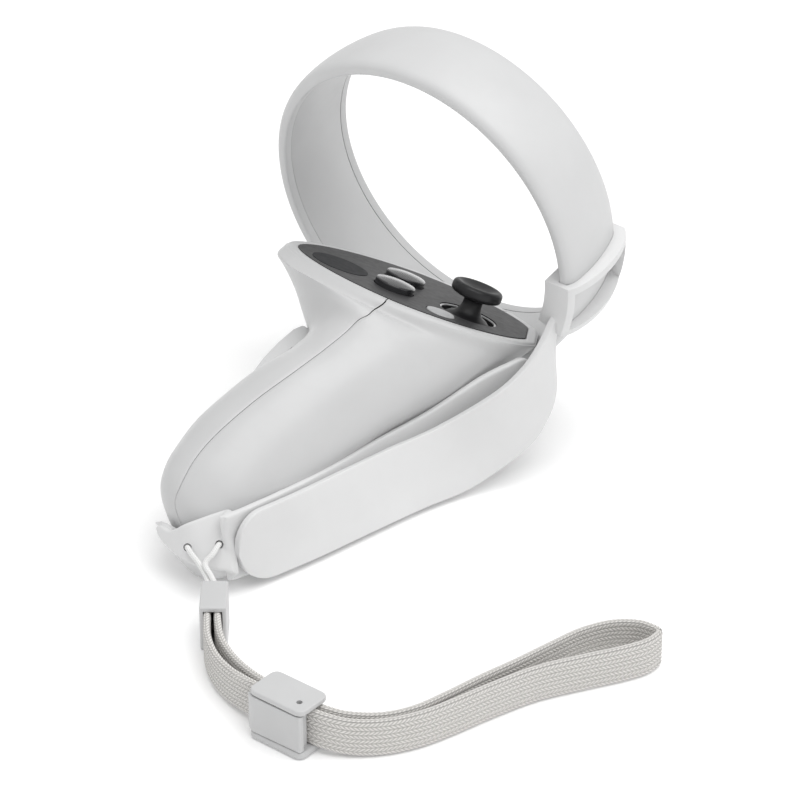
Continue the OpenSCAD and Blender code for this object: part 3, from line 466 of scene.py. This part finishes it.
liner = lathe("ring_liner", [(ring_inside(2.55), 2.55), (ring_inside(2.45) + 0.1, 2.42), (ring_inside(2.4) + 0.8, 2.4), (ring_inside(RW - 2.4) + 0.8, RW - 2.4),
    (ring_inside(RW - 2.45) + 0.1, RW - 2.42), (ring_inside(RW - 2.55), RW - 2.55)], RINGW, in_ring, 288, sharp=50)
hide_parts("ring_inner_liner")

# ---------- strap ----------
OUTER = [
  [ 20.5,   3.0,  -2.5,   0.5, -11.5, 14.5], [ 24.6,   0.0,  -5.5,  -5.0, -10.2, 13.8], [ 27.0,  -4.0, -11.0,  -8.1,  -9.0, 12.8],
  [ 27.2,  -6.5, -17.0, -10.2,  -8.9, 12.0], [ 25.1,  -9.0, -24.5, -12.5,  -8.6, 11.5], [ 16.2, -13.8, -37.3, -13.4,  -7.1, 12.6],
  [  6.4, -22.6, -44.9, -13.0,  -5.9, 12.5], [ -3.5, -34.1, -52.2, -11.5,  -5.8, 13.5], [-14.2, -46.8, -60.1,  -9.5,  -5.8, 15.0],
  [-27.0, -60.5, -68.8,  -7.6,  -5.8, 16.2]]
BEHIND = [[4.5, 0.05], [5, 0.08], [5.5, 0.2], [4.4, 0.2], [3.4, 0.18], [2.8, 0.13], [2.6, 0.1], [2.6, 0.08]]
BOOT_END = [[-29.6, -63.5, -65.1,  -7.1,   3.1, 13.0], [-38.3, -63.8, -66.6,  -5.7,   2.0,  8.6],
  [-44.7, -59.8, -66.7,  -2.8,   1.1,  4.4], [-50.5, -55.4, -65.5,  -0.6,   0.7,  3.0]]
def middle(r): return r[:3] + r[3:6] / 2
def facing(rows, i):
    d = middle(rows[min(i + 1, len(rows) - 1)]) - middle(rows[max(i - 1, 0)])
    f = np.cross(d, rows[i][3:6]); return f / np.linalg.norm(f)
O = np.array(OUTER)
INNER = np.array([list(O[i][:3] + facing(O, i) * BEHIND[i - 2][0] + O[i][3:6] * BEHIND[i - 2][1]) + list(O[i][3:6] * 0.94) for i in range(2, 10)] + BOOT_END)
def ribbon(rows, n, t, r0, r1, tip0=0.03, tip1=0.03):
    s = smooth_rows(rows, n); m = len(s); mid = np.array([middle(r) for r in s]); loops = []
    e = t / 2
    for i in range(m):
        f, w = facing(s, i), s[i][3:6]
        a, b = np.linalg.norm(mid[i] - mid[0]), np.linalg.norm(mid[-1] - mid[i])
        k = 1.0
        if a < r0: k *= math.sqrt(max(tip0, 1 - (1 - a / r0) ** 2))
        if b < r1: k *= math.sqrt(max(tip1, 1 - (1 - b / r1) ** 2))
        L = np.linalg.norm(w) / 2 * k; u = w / np.linalg.norm(w)
        q = 0.42
        corner = [(math.cos(x), math.sin(x)) for x in np.radians([0, 22, 45, 68, 90])]
        cx, cy = min(q, L * 0.5), min(q, e * 0.95)
        quad = [(L - cx + cx * x, e - cy + cy * y) for x, y in corner]
        flat = [((L - cx) * v, e) for v in (0.6, 0.2, -0.2, -0.6)]
        up = quad + flat + [(-x, y) for x, y in quad[::-1]]
        sec = up + [(-x, -y) for x, y in up]
        loops.append([mid[i] + u * x + f * y for x, y in sec])
    return loops
outer = skin("strap_outer", ribbon(OUTER, 14, 1.8, 0, 9, tip1=0.0008), SILICONE, in_head, 50)
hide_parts("strap_outer_band")
inner = skin("strap_inner", ribbon(INNER, 12, 1.8, 8, 3, tip0=0.001), SILICONE, in_head, 50)
CUP = [[2.8, -2.6, -63.9,  0.5,  0.5, 0], [2.2, -3.1, -63.2,  6.9,  6.2, 0], [1.3, -4.1, -61.0,  9.9,  7.6, 0.2], [1.2, -4.4, -57.8, 11.6,  9.8, 0.5],
  [1.2, -4.4, -57.6, 12.9, 11.1, 0.5], [1.3, -4.3, -61.6, 11.6,  8.9, 0.2], [2.2, -3.8, -64.3,  8.6,  6.9, 0.1], [3.0, -2.7, -65.7,  5.4,  5.4, 0], [3.0, -2.7, -65.9,  0.6,  0.6, 0]]
cup_rows = smooth_rows(CUP, 6)
cup = skin("strap_cup", [[(r[0] + r[3] * math.cos(a), r[1] + r[4] * math.sin(a), r[2] + r[5] * r[3] * math.cos(a)) for a in np.arange(120) * math.pi / 60] for r in cup_rows], SILICONE, in_grip, 50)
def beyond(o, n, d):
    n = np.array(n, float); n /= np.linalg.norm(n)
    co, no = in_head(n * d), PLACE @ n
    bm = bmesh.new(); bm.from_mesh(o.data)
    r = bmesh.ops.bisect_plane(bm, geom=bm.verts[:] + bm.edges[:] + bm.faces[:], plane_co=co, plane_no=no, clear_outer=True)
    bmesh.ops.holes_fill(bm, edges=[e for e in bm.edges if e.is_boundary])
    bm.to_mesh(o.data); bm.free()
beyond(cup, (0.003, -0.974, 0.2265), 43.7)
beyond(cup, (-0.5376, -0.8325, -0.134), 80.9)
bm = bmesh.new(); bm.from_mesh(inner.data); bm.from_mesh(cup.data); bm.to_mesh(cup.data); bm.free()
bpy.data.objects.remove(inner, do_unlink=True)
m = cup.modifiers.new("one", "REMESH"); m.mode, m.voxel_size = "VOXEL", 0.0003
apply(cup)
m = cup.modifiers.new("soften", "SMOOTH"); m.factor, m.iterations = 0.5, 14
apply(cup)
EYELETS = [(-66.8, -70.2, 11.3), (-59.3, -71, 12.6)]
EYE_M = turn(X, 60)
for i, e in enumerate(EYELETS):
    to = lambda p, e=e: on_table(p @ EYE_M.T + np.array(e))
    cut(cup, lathe("c5", [(0, -3), (1.0, -3), (1.0, 3), (0, 3)], SILICONE, to, 32, body=None))
smooth(cup.data, 60)
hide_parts("strap_boot", "strap_inner_band")


# sleeve: two bars over the ring joined by rails along its rims
SL_FROM, SL_SWEEP, SL_BAR = -93.75, 20.625, 2.6
def clip_profile(t):
    out = [(r + 1.8 * (1 - s * s) * (1 + 0.4 * s) + 0.9 * max(s, 0) ** 2, z + 0.5 * max(s, 0)) for (r, z), s in zip(ring_outside(t), np.linspace(-1, 1, 25))]
    inn = ring_outside(0.02)
    return [(ring_inside(0) - 3.2, 5), (ring_inside(0) - 3.2, -t)] + out + [(ring_inside(RW) - 1.4, RW + t + 0.5), (ring_inside(RW) - 1.4, 19), (ring_inside(19) - 0.04, 19), (ring_inside(RW) - 0.04, RW + 0.02)] + \
        inn[::-1] + [(ring_inside(0) - 0.04, -0.02), (ring_inside(5) - 0.04, 5)]
sleeve = lathe("strap_sleeve_band", clip_profile(1.4), SILICONE, in_ring, 66, SL_FROM, SL_SWEEP, body=None)
window = lathe("c6", [(36, 0.2), (56, 0.2), (56, RW - 0.6), (36, RW - 0.6)], SILICONE, in_ring, 24, SL_FROM + SL_BAR, SL_SWEEP - 2 * SL_BAR, body=None)
cut(sleeve, window)
bevelled("sleeve", sleeve, 0.0004, 3, 40)
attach(sleeve, ROOT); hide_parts("strap_sleeve")

# ---------- controls ----------
def push_button(name, at, d, proud, mat, body, node, crown=0.35, flange=0.9):
    r = d / 2
    dome = [(0, proud)] + [(r * 0.94 * k / 8, proud - crown * (k / 8) ** 2) for k in range(1, 9)]
    edge = [(r * 0.94 + r * 0.06 * math.sin(a), proud - crown - 0.35 * (1 - math.cos(a))) for a in np.radians([20, 45, 70, 90])]
    pr = [(0, -2.7), (r + flange, -2.7), (r + flange, -1.8), (r, -1.8)] + [(r, proud - crown - 0.6)] + edge[::-1] + dome[::-1]
    o = lathe(name, pr, mat, head_at(*at), 96, body=body)
    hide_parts(node)
    return o
push_button("face_button_a", (-19.6, -2.5), 10.3, 2.2, GLOSS, "button_a", "button_a", 0.55)
push_button("face_button_b", (-18, 10.6), 10.3, 2.2, GLOSS, "button_b", "button_b", 0.55)
push_button("menu_key", (-6.6, -10.2), 7.4, 0.4, PALE, "menu_button", "menu_button", 0.25, 0.25)

trim = lathe("stick_trim", [(7.02, -0.6), (7.58, -0.6), (7.58, -0.34), (7.44, -0.26), (7.2, -0.26), (7.02, -0.36)], TRIM, head_at(0, 0), 160)
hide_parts("stick_trim_ring")
stick = lambda p: in_head(np.asarray(p, float) + np.array([0, 0, -9]))
A = [math.radians(a) for a in np.linspace(8, 66, 24)]
skirt = [(9.9 * math.sin(a), 9.9 * math.cos(a)) for a in A] + [(9.1 * math.sin(a), 9.1 * math.cos(a)) for a in A[::-1]]
shaft = lathe("stick_skirt", skirt, RUBBER, stick, 128, body="stick")
stem = lathe("stick_stem", [(0, 8.7), (4.75, 8.4), (4.7, 8.75), (3.9, 9.1), (3.2, 9.75), (2.75, 10.6), (2.5, 11.6), (2.45, 12.6), (2.7, 13.1), (0, 13.1)], RUBBER, stick, 96, body="stick")
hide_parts("stick_shaft")
rod = lathe("stick_rod", [(0, -2.6), (1.5, -2.6), (1.5, 9), (0, 9)], BLACK, stick, 48, body="stick")
cap_pr = [(0, 13.05), (2.15, 13.05), (2.7, 13.15), (3.6, 13.35), (5.2, 13.65), (6.0, 13.95), (6.35, 14.25), (6.5, 14.65), (6.52, 15.2), (6.5, 15.9), (6.38, 16.3), (6.1, 16.6), (5.7, 16.78), (5.3, 16.8),
  (4.9, 16.7), (4.4, 16.5), (3.6, 16.2), (2.6, 15.95), (1.5, 15.8), (0, 15.75)]
cap = lathe("stick_top", cap_pr, RUBBER, stick, 160, body="stick", sharp=60)
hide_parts("stick_cap")

# ---------- stage and light ----------
bm = bmesh.new()
bmesh.ops.create_grid(bm, x_segments=1, y_segments=1, size=4)
me = bpy.data.meshes.new("floor"); bm.to_mesh(me); bm.free()
floor = bpy.data.objects.new("floor", me); floor.location = (0, 0, -0.0002)
bpy.context.scene.collection.objects.link(floor)
fm, fnt, fb = node_mat("floor_paper", (0.93, 0.93, 0.93), 0.9, spec=0.1)
fb.inputs["Emission Color"].default_value = (1, 1, 1, 1)
fb.inputs["Emission Strength"].default_value = 0.12
me.materials.append(fm)
world = bpy.data.worlds.new("studio"); bpy.context.scene.world = world; world.use_nodes = True
world.node_tree.nodes["Background"].inputs[0].default_value = (1, 1, 1, 1)
world.node_tree.nodes["Background"].inputs[1].default_value = 0.62
bpy.context.scene.view_settings.view_transform = "Standard"
def area(name, loc, power, size, at=(0.0, -0.02, 0.04)):
    d = bpy.data.lights.new(name, "AREA"); d.energy, d.size, d.shape = power, size, "SQUARE"
    o = bpy.data.objects.new(name, d); bpy.context.scene.collection.objects.link(o)
    o.location = loc
    v = np.array(at) - np.array(loc)
    from mathutils import Vector
    o.rotation_euler = Vector(v).to_track_quat("-Z", "Y").to_euler()
    return o
area("key", (0.3, -0.2, 1.2), 12.5, 1.3)
